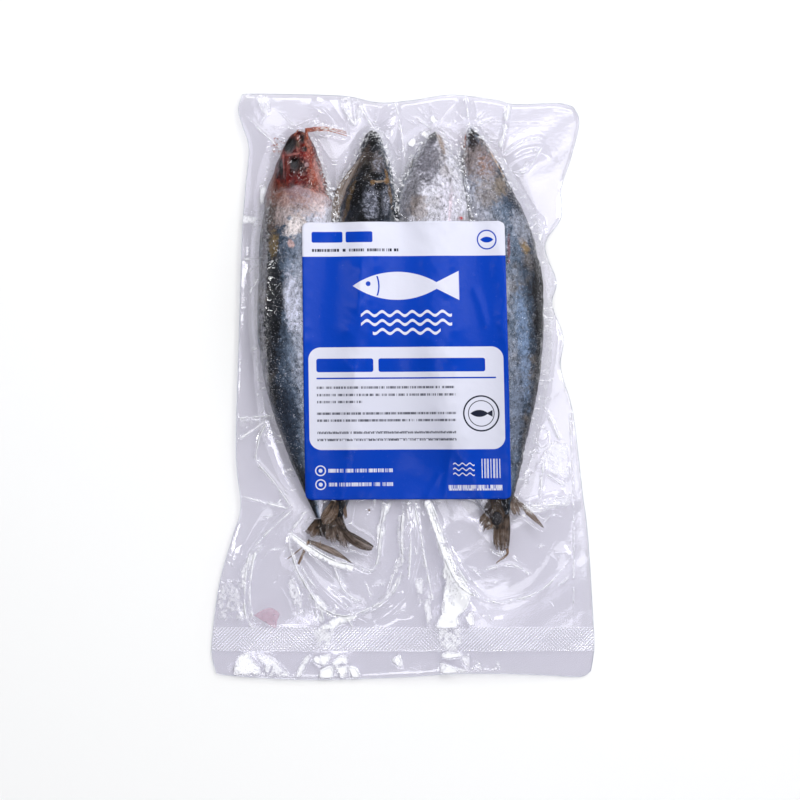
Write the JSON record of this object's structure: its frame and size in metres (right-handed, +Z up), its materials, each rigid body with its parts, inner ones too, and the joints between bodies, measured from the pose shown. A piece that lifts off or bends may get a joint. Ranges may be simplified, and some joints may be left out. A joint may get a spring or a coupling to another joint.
{
  "type": "vacuum pack of whole raw fish",
  "caption": "Clear vacuum pouch drawn tight over whole raw mackerel that lie side by side, with a flat welded border all round and a printed sticker label across the front.",
  "frame": {"origin": "on the table, under the middle of the pouch's box", "axes": "+X is the pack's right as its label is read, +Y runs from the tails to the heads, +Z is up out of the label"},
  "size_m": [0.1986, 0.3042, 0.0298],
  "materials": {
    "film": "gloss",
    "label_print": "satin",
    "fish_skin": "satin",
    "fish_fin": "satin",
    "fish_flesh": "satin"
  },
  "bodies": {
    "root": {"pouch": "film", "label": "label_print"}
  },
  "joints": []
}
